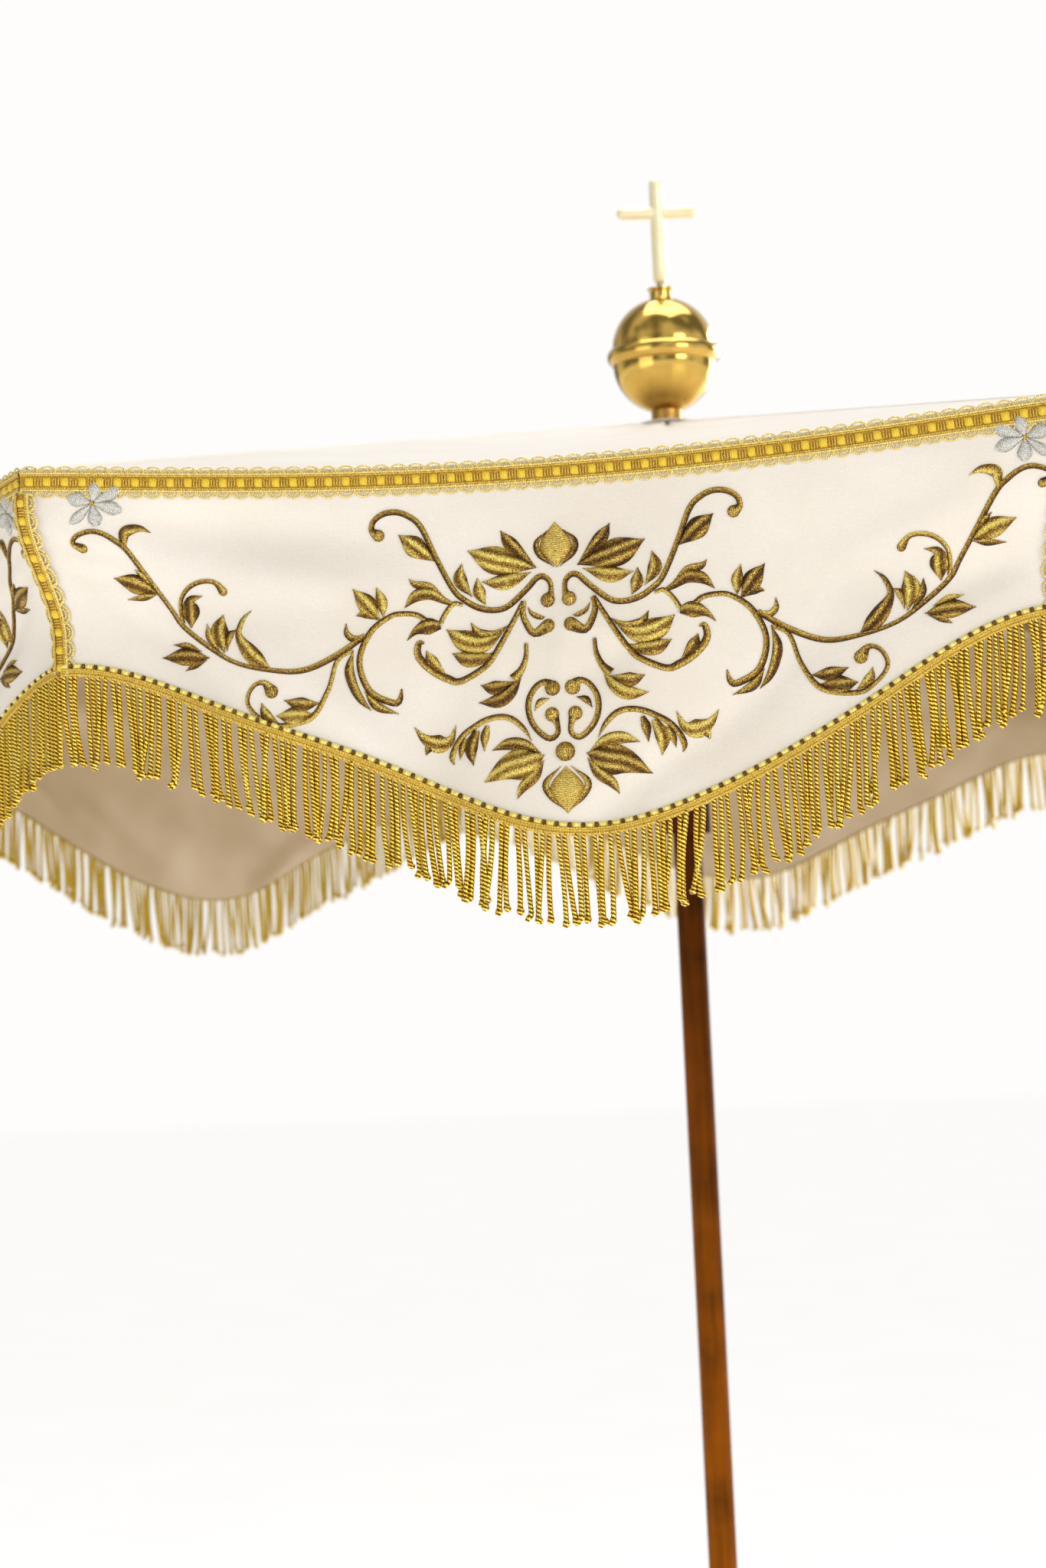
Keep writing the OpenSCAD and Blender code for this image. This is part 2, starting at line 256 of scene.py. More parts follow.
class Batch:
    """Grids of quads gathered into one mesh, each vertex with what the cloth and thread need."""

    def __init__(self, k):
        self.k = k
        self.points = []
        self.quads = []
        self.slots = []
        self.fields = {"fold_t": [], "fold_q": [], "along": [], "across": [], "tone": [], "edge": []}
        self.count = 0

    def grid(self, points, share, anchor, closed=False, slot=0, along=0.0, across=0.0, tone=0.0,
             edge=0.0):
        """Points have the shape (..., rows, columns, 3); the other values spread over them."""
        shape = points.shape[:-1]
        rows, columns = shape[-2:]
        total = int(np.prod(shape))
        down = np.arange(rows - 1)[:, None] * columns
        over = np.arange(columns if closed else columns - 1)[None, :]
        here = down + over
        beside = down + (over + 1) % columns
        cell = np.stack([here, beside, beside + columns, here + columns], axis=-1).reshape(-1, 4)
        starts = self.count + np.arange(total // (rows * columns)) * rows * columns
        quads = (starts[:, None, None] + cell[None]).reshape(-1, 4)
        self.points.append(points.reshape(-1, 3))
        self.quads.append(quads)
        self.slots.append(np.full(len(quads), slot, np.int32))
        self.fields["fold_t"].append(np.broadcast_to((share + 1) / 2, shape).reshape(-1))
        self.fields["fold_q"].append(np.broadcast_to(anchor, shape + (3,)).reshape(-1, 3))
        for name, value in (("along", along), ("across", across), ("tone", tone), ("edge", edge)):
            self.fields[name].append(np.broadcast_to(value, shape).reshape(-1))
        self.count += total

    def on_valance(self, x, d, out, **rest):
        """A grid on the valance, from places along and down the panel and heights above the cloth."""
        x, d, out = np.broadcast_arrays(np.asarray(x, float), np.asarray(d, float), out)
        share = panel_share(x, d)
        points = valance_point(self.k, x, d, out)
        self.grid(points, share, fold_point(self.k, share), **rest)

    def build(self, name, materials, replaced=()):
        points = np.concatenate(self.points) * MM
        quads = np.concatenate(self.quads)
        mesh = bpy.data.meshes.new(name)
        mesh.vertices.add(len(points))
        mesh.vertices.foreach_set("co", points.astype(np.float32).ravel())
        mesh.loops.add(quads.size)
        mesh.loops.foreach_set("vertex_index", quads.astype(np.int32).ravel())
        mesh.polygons.add(len(quads))
        mesh.polygons.foreach_set("loop_start", np.arange(0, quads.size, 4, dtype=np.int32))
        mesh.polygons.foreach_set("material_index", np.concatenate(self.slots))
        mesh.polygons.foreach_set("use_smooth", np.ones(len(quads), bool))
        for field in ("fold_t", "along", "across", "tone", "edge"):
            values = np.concatenate(self.fields[field]).astype(np.float32)
            mesh.attributes.new(field, "FLOAT", "POINT").data.foreach_set("value", values)
        anchors = np.concatenate(self.fields["fold_q"]).astype(np.float32) * np.float32(MM)
        mesh.attributes.new("fold_q", "FLOAT_VECTOR", "POINT").data.foreach_set("vector", anchors.ravel())
        for material in materials:
            mesh.materials.append(material)
        mesh.update(calc_edges=True)
        piece = bpy.data.objects.new(name, mesh)
        bpy.context.scene.collection.objects.link(piece)
        follow_ribs(piece, self.k)
        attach(piece, f"rib_{self.k}")
        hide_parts(*replaced)
        return piece


# -------------------- folding with the ribs

def fold_nodes():
    """Cloth between two ribs. A point rides on the panel's own rib, and fold_t is the share of its
    anchor's way to the next rib. A negative fold_t counts back to the rib before. What hangs from
    the anchor stays upright, and the cloth billows outwards as the ribs come together. Round the
    crown the cloth stays with the pole."""
    tree = bpy.data.node_groups.new("fold_between_ribs", "GeometryNodeTree")
    face = tree.interface
    face.new_socket("Geometry", in_out="INPUT", socket_type="NodeSocketGeometry")
    for name in ("Next rib", "Rib before", "Pole"):
        face.new_socket(name, in_out="INPUT", socket_type="NodeSocketObject")
    for name in ("Outward", "Outward before"):
        face.new_socket(name, in_out="INPUT", socket_type="NodeSocketVector")
    face.new_socket("Geometry", in_out="OUTPUT", socket_type="NodeSocketGeometry")
    given = tree.nodes.new("NodeGroupInput").outputs
    result = tree.nodes.new("NodeGroupOutput")

    def info(source):
        item = add(tree, "GeometryNodeObjectInfo", {"Object": source}, transform_space="RELATIVE")
        return item.outputs["Transform"]

    def attribute(name, kind):
        item = add(tree, "GeometryNodeInputNamedAttribute", {"Name": name}, data_type=kind)
        return next(output for output in item.outputs if output.enabled and output.name == "Attribute")

    def vector(operation, *values):
        item = add(tree, "ShaderNodeVectorMath", dict(enumerate(values)), operation=operation)
        return item.outputs["Value" if operation == "LENGTH" else "Vector"]

    def scaled(value, factor):
        item = add(tree, "ShaderNodeVectorMath", {0: value, "Scale": factor}, operation="SCALE")
        return item.outputs["Vector"]

    def number(operation, *values):
        return add(tree, "ShaderNodeMath", dict(enumerate(values)), operation=operation).outputs[0]

    anchor = attribute("fold_q", "FLOAT_VECTOR")
    signed = attribute("fold_t", "FLOAT")

    def moved_with(rib, outward, share):
        """How far the anchor moves towards its place on this rib, and how far the cloth billows."""
        there = add(tree, "FunctionNodeTransformPoint", {"Vector": anchor, "Transform": info(given[rib])})
        apart = vector("SUBTRACT", there.outputs[0], anchor)
        middle = number("MULTIPLY", share, number("SUBTRACT", 1.0, share))
        billow = number("MULTIPLY", number("MULTIPLY", middle, 4 * BILLOW), vector("LENGTH", apart))
        return scaled(apart, share), scaled(given[outward], billow)

    ahead = moved_with("Next rib", "Outward", number("MAXIMUM", signed, 0.0))
    backwards = number("MULTIPLY", signed, -1.0)
    behind = moved_with("Rib before", "Outward before", number("MAXIMUM", backwards, 0.0))
    place_now = tree.nodes.new("GeometryNodeInputPosition").outputs[0]
    hanging = vector("ADD", vector("SUBTRACT", place_now, anchor), vector("ADD", ahead[1], behind[1]))
    upright = add(tree, "FunctionNodeTransformDirection",
                  {"Direction": hanging, "Transform": info(given["Pole"])}).outputs[0]
    travel = vector("ADD", ahead[0], behind[0])
    free = vector("ADD", vector("ADD", anchor, travel), upright)
    radius = vector("LENGTH", vector("MULTIPLY", anchor, (1, 1, 0)))
    held = add(tree, "ShaderNodeMapRange", {"Value": radius, "From Min": CROWN_FREE * MM,
                                            "From Max": CROWN_HELD * MM}, interpolation_type="SMOOTHSTEP")
    fixed = add(tree, "FunctionNodeTransformPoint", {"Vector": place_now, "Transform": info(given["Pole"])})
    back = vector("SUBTRACT", fixed.outputs[0], free)
    position = vector("ADD", free, scaled(back, held.outputs[0]))
    moved_mesh = add(tree, "GeometryNodeSetPosition", {"Geometry": given["Geometry"], "Position": position})
    tree.links.new(moved_mesh.outputs[0], result.inputs[0])
    return tree


def follow_ribs(piece, k):
    modifier = piece.modifiers.new("fold", "NODES")
    modifier.node_group = FOLD
    names = {item.name: item.identifier for item in FOLD.interface.items_tree if item.in_out == "INPUT"}
    modifier[names["Next rib"]] = frame["bodies"][f"rib_{k % PANELS + 1}"]
    modifier[names["Rib before"]] = frame["bodies"][f"rib_{(k - 2) % PANELS + 1}"]
    modifier[names["Pole"]] = frame["bodies"]["pole"]
    modifier[names["Outward"]] = list(directions(k)[0])
    modifier[names["Outward before"]] = list(directions(k - 1)[0])


# -------------------- materials

def add(tree, kind, inputs=None, **settings):
    """A node of this kind. An input takes a value or another node's output."""
    item = tree.nodes.new(kind)
    for name, value in settings.items():
        setattr(item, name, value)
    for key, value in (inputs or {}).items():
        if isinstance(value, bpy.types.NodeSocket):
            tree.links.new(value, item.inputs[key])
        else:
            item.inputs[key].default_value = value
    return item


def linear(red, green, blue):
    """A colour as seen on a screen, 0 to 255, as the linear values that shaders use."""
    return tuple((c / 255 / 12.92 if c < 10.3 else ((c / 255 + 0.055) / 1.055) ** 2.4)
                 for c in (red, green, blue)) + (1.0,)


class Finish:
    """A material with a principled shader, and short names for the nodes that colour it."""

    def __init__(self, name):
        self.material = bpy.data.materials.new(name)
        self.material.use_nodes = True
        self.tree = self.material.node_tree
        self.shader = self.tree.nodes["Principled BSDF"]
        self.object_space = self.tree.nodes.new("ShaderNodeTexCoord").outputs["Object"]

    def set(self, **values):
        for name, value in values.items():
            key = name.replace("_", " ")
            socket = next(s for s in self.shader.inputs if s.name.lower() == key.lower())
            if isinstance(value, bpy.types.NodeSocket):
                self.tree.links.new(value, socket)
            else:
                socket.default_value = value

    def field(self, name):
        return add(self.tree, "ShaderNodeAttribute", attribute_name=name).outputs["Fac"]

    def math(self, operation, *values):
        return add(self.tree, "ShaderNodeMath", dict(enumerate(values)), operation=operation).outputs[0]

    def stretched(self, x, y, z):
        item = add(self.tree, "ShaderNodeVectorMath", {0: self.object_space, 1: (x, y, z)},
                   operation="MULTIPLY")
        return item.outputs["Vector"]

    def noise(self, scale, detail=3.0, vector=None, roughness=0.55):
        item = add(self.tree, "ShaderNodeTexNoise",
                   {"Vector": vector or self.object_space, "Scale": scale, "Detail": detail,
                    "Roughness": roughness})
        return item.outputs["Fac"]

    def ramp(self, value, *stops):
        """Colours or greys by position: each stop is (position, colour)."""
        item = add(self.tree, "ShaderNodeValToRGB", {"Fac": value})
        elements = item.color_ramp.elements
        while len(elements) < len(stops):
            elements.new(0.5)
        for element, (position, colour) in zip(elements, stops):
            element.position = position
            element.color = colour if isinstance(colour, tuple) else (colour, colour, colour, 1)
        return item.outputs["Color"]

    def mix(self, factor, a, b, blend="MIX"):
        item = add(self.tree, "ShaderNodeMix", data_type="RGBA", blend_type=blend)
        for key, value in ((0, factor), (6, a), (7, b)):
            if isinstance(value, bpy.types.NodeSocket):
                self.tree.links.new(value, item.inputs[key])
            else:
                item.inputs[key].default_value = value
        return item.outputs[2]

    def bump(self, height, strength, distance):
        item = add(self.tree, "ShaderNodeBump",
                   {"Height": height, "Strength": strength, "Distance": distance})
        self.set(Normal=item.outputs["Normal"])


def ivory_satin():
    f = Finish("ivory_satin")
    cloud = f.noise(9, 3)
    slub = f.noise(1, 2, f.stretched(420, 420, 1500))
    grain = f.noise(820, 2)
    base = f.ramp(cloud, (0.3, linear(244, 236, 223)), (0.7, linear(252, 247, 239)))
    worn = f.math("MULTIPLY_ADD", slub, 0.12, f.math("MULTIPLY", grain, 0.24))
    rough = f.ramp(slub, (0.2, 0.36), (0.8, 0.52))
    f.set(Base_Color=f.mix(worn, base, linear(206, 184, 150)), Roughness=rough, Sheen_Weight=0.2,
          Sheen_Roughness=0.4, Specular_IOR_Level=0.5)
    crease = f.noise(16, 3, roughness=0.45)
    thread_height = f.math("MULTIPLY_ADD", slub, 0.04, f.math("MULTIPLY", grain, 0.07))
    f.bump(f.math("ADD", crease, thread_height), 0.55, 0.006)
    return f.material


def taupe_lining():
    f = Finish("taupe_lining")
    weave = f.noise(1, 1, f.stretched(1500, 1500, 1500))
    cloud = f.noise(12, 2)
    base = f.ramp(cloud, (0.3, linear(188, 168, 136)), (0.7, linear(212, 194, 166)))
    f.set(Base_Color=f.mix(f.math("MULTIPLY", weave, 0.2), base, linear(150, 132, 106)), Roughness=0.7,
          Sheen_Weight=0.2)
    crease = f.noise(11, 3, roughness=0.4)
    f.bump(f.math("MULTIPLY_ADD", weave, 0.03, crease), 0.6, 0.009)
    return f.material


def thread(name, shade, body, light, pitch, slant, metallic=0.6, spark=0.5, sides=0.0):
    """Laid metal thread: a stitch every pitch millimetres, slanted away from the middle line. The
    stitches lie at another angle on each side of a leaf, and sides paints one side of each stroke
    darker and the other lighter, as painted shade and painted highlight."""
    f = Finish(name)
    sideways = f.math("MULTIPLY", f.math("ABSOLUTE", f.field("across")), slant)
    position = f.math("ADD", f.field("along"), sideways)
    wander = f.math("MULTIPLY", f.noise(420, 3), 9.0)
    turn = f.math("ADD", f.math("MULTIPLY", position, 2 * math.pi / pitch), wander)
    ridge = f.math("MULTIPLY_ADD", f.math("SINE", turn), 0.5, 0.5)
    glint = f.noise(1500, 3, roughness=0.7)
    # painted shade and painted highlight: one side of each stroke darker, the other lighter, by sides
    half = f.math("MULTIPLY", f.math("SINE", f.math("MULTIPLY", f.field("across"), 1.1)), sides)
    sparkle = f.math("MULTIPLY_ADD", glint, 2.8 * spark, 0.4 - 1.4 * spark)
    # painted highlight and painted shade: each stitch's crest lighter and the groove between stitches
    # darker, with painted glints from glint
    level = f.math("MULTIPLY_ADD", ridge, 0.2, sparkle)
    level = f.math("ADD", level, f.math("MULTIPLY_ADD", f.field("tone"), 0.25, half))
    # painted shade: each stroke darker towards its edges, where the raised thread turns away from the light
    painted_edge_shade = f.math("POWER", f.field("edge"), 3.0)
    level = f.math("SUBTRACT", level, f.math("MULTIPLY", painted_edge_shade, 0.17))
    colour = f.ramp(level, (0.22, linear(*shade)), (0.5, linear(*body)), (0.85, linear(*light)))
    f.set(Base_Color=colour, Metallic=metallic, Roughness=f.ramp(glint, (0.35, 0.5), (0.65, 0.26)),
          Specular_IOR_Level=0.6)
    f.bump(f.math("MULTIPLY_ADD", glint, 0.8, ridge), 0.6, 0.0004)
    return f.material


def fringe_cord():
    """Twisted bullion: the notches run round each strand, and strands differ in tone."""
    f = Finish("fringe_cord")
    turn = f.math("MULTIPLY_ADD", f.field("along"), 2 * math.pi / LAY,
                  f.math("MULTIPLY", f.field("across"), 2.0))
    ridge = f.math("MULTIPLY_ADD", f.math("SINE", turn), 0.4, f.math("MULTIPLY", f.noise(1300, 2), 0.9))
    # painted shade in the notches of the lay and painted highlights on the crests between them, from ridge
    warm = f.ramp(ridge, (0.16, linear(92, 46, 0)), (0.46, linear(238, 168, 0)),
                  (0.74, linear(255, 234, 90)))
    pale = f.ramp(ridge, (0.16, linear(98, 58, 0)), (0.46, linear(240, 190, 16)),
                  (0.74, linear(255, 244, 128)))
    f.set(Base_Color=f.mix(f.field("tone"), warm, pale), Metallic=0.85, Roughness=0.33)
    f.bump(ridge, 0.6, 0.0004)
    return f.material


def metal(name, colour, dark, rough, scale, wear):
    f = Finish(name)
    patch = f.noise(scale, 4)
    scratch = f.noise(1, 2, f.stretched(900, 900, 90))
    tarnish = f.ramp(patch, (0.35, 0.0), (0.75, wear))
    f.set(Base_Color=f.mix(tarnish, linear(*colour), linear(*dark)), Metallic=1.0,
          Roughness=f.ramp(patch, (0.3, rough), (0.8, rough * 1.8 + 0.02)))
    f.bump(scratch, 0.04, 0.0002)
    return f.material


def stained_wood(name, dark, warm, low_z, high_z):
    """Stained wood, mottled, with grain along the pole and a darker top."""
    f = Finish(name)
    grain = f.noise(1, 5, f.stretched(190, 190, 9), 0.6)
    streak = f.noise(1, 3, f.stretched(60, 60, 3))
    mottle = f.noise(26, 3)
    height = add(f.tree, "ShaderNodeSeparateXYZ", {"Vector": f.object_space}).outputs["Z"]
    rise = add(f.tree, "ShaderNodeMapRange", {"Value": height, "From Min": low_z, "From Max": high_z})
    level = f.math("ADD", f.math("MULTIPLY", grain, 0.55), f.math("MULTIPLY", mottle, 0.45))
    light = f.ramp(level, (0.3, linear(*[c * 0.55 for c in warm])), (0.5, linear(*warm)),
                   (0.72, linear(*[min(c * 1.25, 255) for c in warm])))
    deep = f.ramp(level, (0.3, linear(*[c * 0.5 for c in dark])), (0.7, linear(*[c * 1.5 for c in dark])))
    f.set(Base_Color=f.mix(rise.outputs[0], light, deep), Roughness=f.ramp(streak, (0.3, 0.36), (0.7, 0.52)),
          Coat_Weight=0.02, Coat_Roughness=0.2, Specular_IOR_Level=0.05)
    f.bump(grain, 0.12, 0.0004)
    return f.material


def floor_paint():
    f = Finish("floor_paint")
    f.set(Base_Color=f.ramp(f.noise(2, 2), (0.3, linear(236, 235, 233)), (0.7, linear(242, 241, 239))),
          Roughness=0.7, Emission_Color=linear(255, 254, 252), Emission_Strength=0.615)
    return f.material


FOLD = fold_nodes()
SATIN = ivory_satin()
LINING = taupe_lining()
GOLD = thread("embroidery_gold", (50, 26, 0), (160, 110, 16), (255, 238, 128), 1.0, 0.8, spark=0.68,
              sides=0.19)
PALE_GOLD = thread("embroidery_pale_gold", (122, 84, 16), (216, 180, 76), (255, 244, 156), 1.1, 0.1,
                   spark=0.6)
SILVER = thread("embroidery_silver", (120, 116, 108), (206, 202, 192), (255, 253, 248), 1.2, 0.6,
                metallic=0.4)
BRAID = thread("braid_gold", (140, 98, 20), (232, 192, 74), (255, 244, 150), 1.5, 0.9, spark=0.35)
BRAID_CORD = thread("braid_cord", (160, 122, 36), (250, 222, 120), (255, 252, 210), 1.3, 0.4, spark=0.4)
BRAID_GROUND = thread("braid_ground", (104, 66, 10), (176, 130, 34), (236, 198, 90), 1.0, 0.2, spark=0.35)
BRIGHT = thread("braid_bright", (226, 160, 6), (255, 216, 30), (255, 248, 150), 0.8, 0.0, metallic=0.1,
                spark=0.22)
DASH = thread("header_dash", (238, 190, 40), (255, 240, 110), (255, 255, 236), 2.6, 0.0, metallic=0.0)
BRONZE = thread("header_bronze", (58, 34, 4), (112, 72, 14), (190, 142, 50), 1.1, 0.0)
CORD = fringe_cord()

# The braid's threads, and the slot of each in its meshes
BRAID_THREADS = [BRAID, BRIGHT, BRAID_CORD, BRAID_GROUND]
PLAIN_SLOT, BRIGHT_SLOT, CORD_SLOT, GROUND_SLOT = range(4)


# -------------------- canopy cloth

SHEET_COLUMNS = 121


def sheet(k):
    """The outer face of panel k as a grid from the cloth's hole in the middle to its hem. Its rows
    are close together at the crown and on both sides of the fold."""
    u = np.linspace(-1, 1, SHEET_COLUMNS)[None, :]
    crown = np.linspace(HOLE_R / APOTHEM, 0.09, 16)
    slope = np.linspace(0.12, 0.985, 20)
    s = np.concatenate([crown, slope, [0.996]])[:, None]
    roof = roof_point(k, u + 0 * s, s + 0 * u)
    v = np.append([0, 0.012, 0.03], np.linspace(0.06, 1, 36))[:, None]
    top = fold_depth(u)
    d = top + (hem_depth(u) + 0.8 * HEADER_W - top) * v
    x = u * half_width(d)
    valance = valance_point(k, x, d)
    points = np.concatenate([roof, valance])
    anchors = np.concatenate([roof, np.broadcast_to(fold_point(k, u + 0 * v), valance.shape)])
    return points, np.broadcast_to(u, points.shape[:-1]), anchors


def canopy_panel(k):
    """Satin outside and lining inside, closed round its edges. The lining lies straight below the
    roof and straight behind the valance, mitred at the seams, and so stays inside in a fold."""
    batch = Batch(k)
    points, share, anchors = sheet(k)
    on_roof = np.all(anchors == points, axis=-1, keepdims=True)
    outward, along = directions(k)
    behind = outward + share[..., None] * math.tan(STEP / 2) * along
    inside = points - CLOTH_T * np.where(on_roof, np.array([0, 0, 1]), behind)
    inner_anchors = np.where(on_roof, inside, anchors)
    batch.grid(points, share, anchors, slot=0)
    batch.grid(inside[:, ::-1], share[:, ::-1], inner_anchors[:, ::-1], slot=1)
    for edge in (np.s_[0], np.s_[-1], np.s_[:, 0], np.s_[:, -1]):
        rim = np.stack([points[edge], inside[edge]])
        hold = np.stack([anchors[edge], inner_anchors[edge]])
        batch.grid(rim, np.stack([share[edge], share[edge]]), hold, slot=0)
    return batch.build(f"canopy_panel_{k}", [SATIN, LINING],
                       [f"roof_gore_{k}", f"valance_panel_{k}"])


def full_turn(sides):
    return np.linspace(0, 2 * math.pi, sides, endpoint=False)


def ring_section(sides):
    turn = full_turn(sides)
    return np.cos(turn), np.sin(turn)


def roof_seam(k):
    """The felled seam over rib k, a low round welt that lies on both of its panels."""
    batch = Batch(k)
    s = np.linspace(SEAM_START / APOTHEM, 0.995, 90)[:, None]
    across = np.linspace(-1, 1, 7)[None, :]
    taper = smooth_step((s - s[0]) * APOTHEM / SEAM_TAPER)
    side = across * SEAM_W / 2 + 0 * s
    part = side / (2 * HALF * s)
    own = roof_point(k, 2 * np.maximum(part, 0) - 1, s + 0 * side)
    before = roof_point(k - 1, 1 + 2 * np.minimum(part, 0), s + 0 * side)
    points = np.where((side < 0)[..., None], before, own)
    points[..., 2] += taper * SEAM_RISE * np.sqrt(1 - across ** 2) - SEAM_SINK * np.abs(across)
    batch.grid(points, 2 * part - 1, points)
    return batch.build(f"roof_seam_{k}", [SATIN])


# -------------------- paths on a panel

class Path:
    """A line on the valance by its length, and points beside it. v is measured downwards."""

    def __init__(self, x, d):
        self.x = x
        self.d = d
        steps = np.hypot(np.diff(x), np.diff(d))
        self.s = np.append(0, np.cumsum(steps))
        self.length = self.s[-1]
        slope = np.hypot(np.gradient(x), np.gradient(d))
        self.normal_x = -np.gradient(d) / slope
        self.normal_d = np.gradient(x) / slope

    def at(self, s, v):
        x = np.interp(s, self.s, self.x) + v * np.interp(s, self.s, self.normal_x)
        d = np.interp(s, self.s, self.d) + v * np.interp(s, self.s, self.normal_d)
        return x, d


def fold_path():
    u = np.linspace(-1, 1, 401)
    d = fold_depth(u) + BRAID_DROP
    return Path(u * half_width(d), d)


def hem_path():
    u = np.linspace(-1, 1, 401)
    d = hem_depth(u)
    return Path(u * half_width(d), d)


FOLD_PATH = fold_path()
HEM_PATH = hem_path()


# -------------------- braid

def pillow(size_s, size_v, height, steps=5):
    """A small raised square: places along and across, and heights."""
    a = np.linspace(-1, 1, steps)
    s, v = np.meshgrid(a * size_s / 2, a * size_v / 2, indexing="ij")
    rise = height * ((1 - a ** 4)[:, None] * (1 - a ** 4)[None, :]) ** 0.5
    return s, v, rise


def picot(width, height, radius, side):
    """A half loop of cord standing out from the braid's edge."""
    turn = np.linspace(0, math.pi, 9)[:, None]
    across, up = ring_section(5)
    reach = 1 + radius * across[None, :] / height
    s = width / 2 * reach * np.cos(turn)
    v = side * (CORE_W / 2 - 0.4 + height * reach * np.sin(turn))
    rise = radius * up[None, :] + 0 * turn
    return s, v, rise


def braid_parts(length):
    """The braid's grids: places along it, across it, heights, and which thread it's made of."""
    count = int(round(length / BRAID_PITCH))
    pitch = length / count
    centres = (np.arange(count) + 0.5) * pitch

    def repeat(shape, offsets, slot):
        s, v, rise = shape
        offset = offsets.reshape(-1, 1, 1)
        return offset + s[None], v[None] + 0 * offset, rise[None] + 0 * offset, slot, False

    s = np.linspace(0, length, int(length / 2.5))[:, None]
    v = np.linspace(-1, 1, 7)[None, :]
    parts = [(s + 0 * v, v * CORE_W / 2 + 0 * s, 0.4 * (1 - v ** 4) + 0 * s, GROUND_SLOT, False)]
    parts.append(repeat(pillow(*BRIGHT_SQUARE), centres, BRIGHT_SLOT))
    for shift in (-1.6, 0, 1.6):
        parts.append(repeat(pillow(*CROSS_THREAD, steps=4), centres + pitch / 2 + shift, PLAIN_SLOT))
    across, up = ring_section(6)
    for side in (-1, 1):
        for middle, thick, slot in ((3.7, 0.62, PLAIN_SLOT), (4.9, 0.8, CORD_SLOT)):
            beads = thick * (1 + 0.2 * np.sin(2 * math.pi * s / 5.1))
            parts.append((s + 0 * across, side * middle + beads * across, 0.6 + beads * up, slot, True))
        for share, height, thick in ((0.96, 3.8, 0.6), (0.5, 2.0, 0.45)):
            parts.append(repeat(picot(pitch * share, height, thick, side), centres, CORD_SLOT))
    return parts


def top_braid(k):
    """The braid along the fold between roof and valance."""
    batch = Batch(k)
    for s, v, rise, slot, closed in braid_parts(FOLD_PATH.length):
        x, d = FOLD_PATH.at(s, v)
        batch.on_valance(x, d, rise + 0.35, slot=slot, closed=closed, along=s, across=v)
    return batch.build(f"top_braid_{k}", BRAID_THREADS, [f"valance_trim_{k}"])


def seam_braid(k):
    """The braid down the corner seam at rib k, bent over the corner."""
    batch = Batch(k)
    start = -FOLD_RISE + BRAID_DROP + 0.4 * BRAID_W
    outward, along = directions(k)
    corner = outward * math.cos(STEP / 2) - along * math.sin(STEP / 2)
    sideways = outward * math.sin(STEP / 2) + along * math.cos(STEP / 2)
    for s, v, rise, slot, closed in braid_parts(CORNER + 0.3 * HEADER_W - start):
        d = start + s
        back = (np.sqrt(v * v + 1.5) - 1.2) * math.sin(STEP / 2)
        reach = RIM_R - seam_tuck(d) - back + rise + 0.9
        points = reach[..., None] * corner + (v * math.cos(STEP / 2))[..., None] * sideways
        points[..., 2] += RIM_Z - d
        part = v / (2 * half_width(d))
        own = fold_point(k, 2 * np.maximum(part, 0) - 1)
        before = fold_point(k - 1, 1 + 2 * np.minimum(part, 0))
        anchors = np.where((part < 0)[..., None], before, own)
        batch.grid(points, 2 * part - 1, anchors, slot=slot, closed=closed, along=s, across=v)
    return batch.build(f"seam_braid_{k}", BRAID_THREADS, [f"valance_trim_{k}"])


# -------------------- fringe

def fringe_header(k):
    """A woven gimp with two cords, under a row of bright dashes parted by short dark ones."""
    batch = Batch(k)
    s = np.linspace(0, HEM_PATH.length, 520)[:, None]
    v = np.linspace(0, 1, 6)[None, :]
    x, d = HEM_PATH.at(s + 0 * v, HEADER_TOP + v * (HEADER_W - HEADER_TOP) + 0 * s)
    batch.on_valance(x, d, 0.5 + 1.1 * (1 - (2 * v - 1) ** 4) + 0 * s, slot=0, along=s + 0 * v,
                     across=(2 * v - 1) * 3 + 0 * s)
    across, up = ring_section(6)
    for middle, thick in ((3.2, 0.75), (6.3, 0.9)):
        twist = thick * (1 + 0.25 * np.sin(2 * math.pi * s / 2.9))
        x, d = HEM_PATH.at(s + 0 * across, middle + twist * across)
        batch.on_valance(x, d, 1.7 + twist * up, slot=0, closed=True, along=s + 0 * across)
    count = int(HEM_PATH.length / HEADER_PITCH)
    starts = (np.arange(count) + 0.5) * HEM_PATH.length / count
    for shift, length, slot in ((-0.12, 0.72, 1), (0.38, 0.26, 2)):
        shape_s, shape_v, rise = pillow(length * HEADER_PITCH, 3.1, 1.9)
        centres = (starts + shift * HEADER_PITCH).reshape(-1, 1, 1)
        x, d = HEM_PATH.at(centres + shape_s, 1.2 + shape_v + 0 * centres)
        batch.on_valance(x, d, 0.5 + rise + 0 * centres, slot=slot, along=centres + shape_s)
    return batch.build(f"fringe_header_{k}", [BRAID, DASH, BRONZE],
                       [f"valance_trim_{k}"])


def strand_places(rng):
    """Where the strands hang along the hem: twos and threes, close together, with gaps between."""
    places = []
    s = FRINGE_START
    while s < HEM_PATH.length - FRINGE_END:
        for _ in range(rng.integers(2, 4)):
            places.append(s)
            s += rng.uniform(*STRAND_SPACING)
        s += rng.uniform(*BUNDLE_GAP)
    return np.array([p for p in places if p < HEM_PATH.length - FRINGE_END])


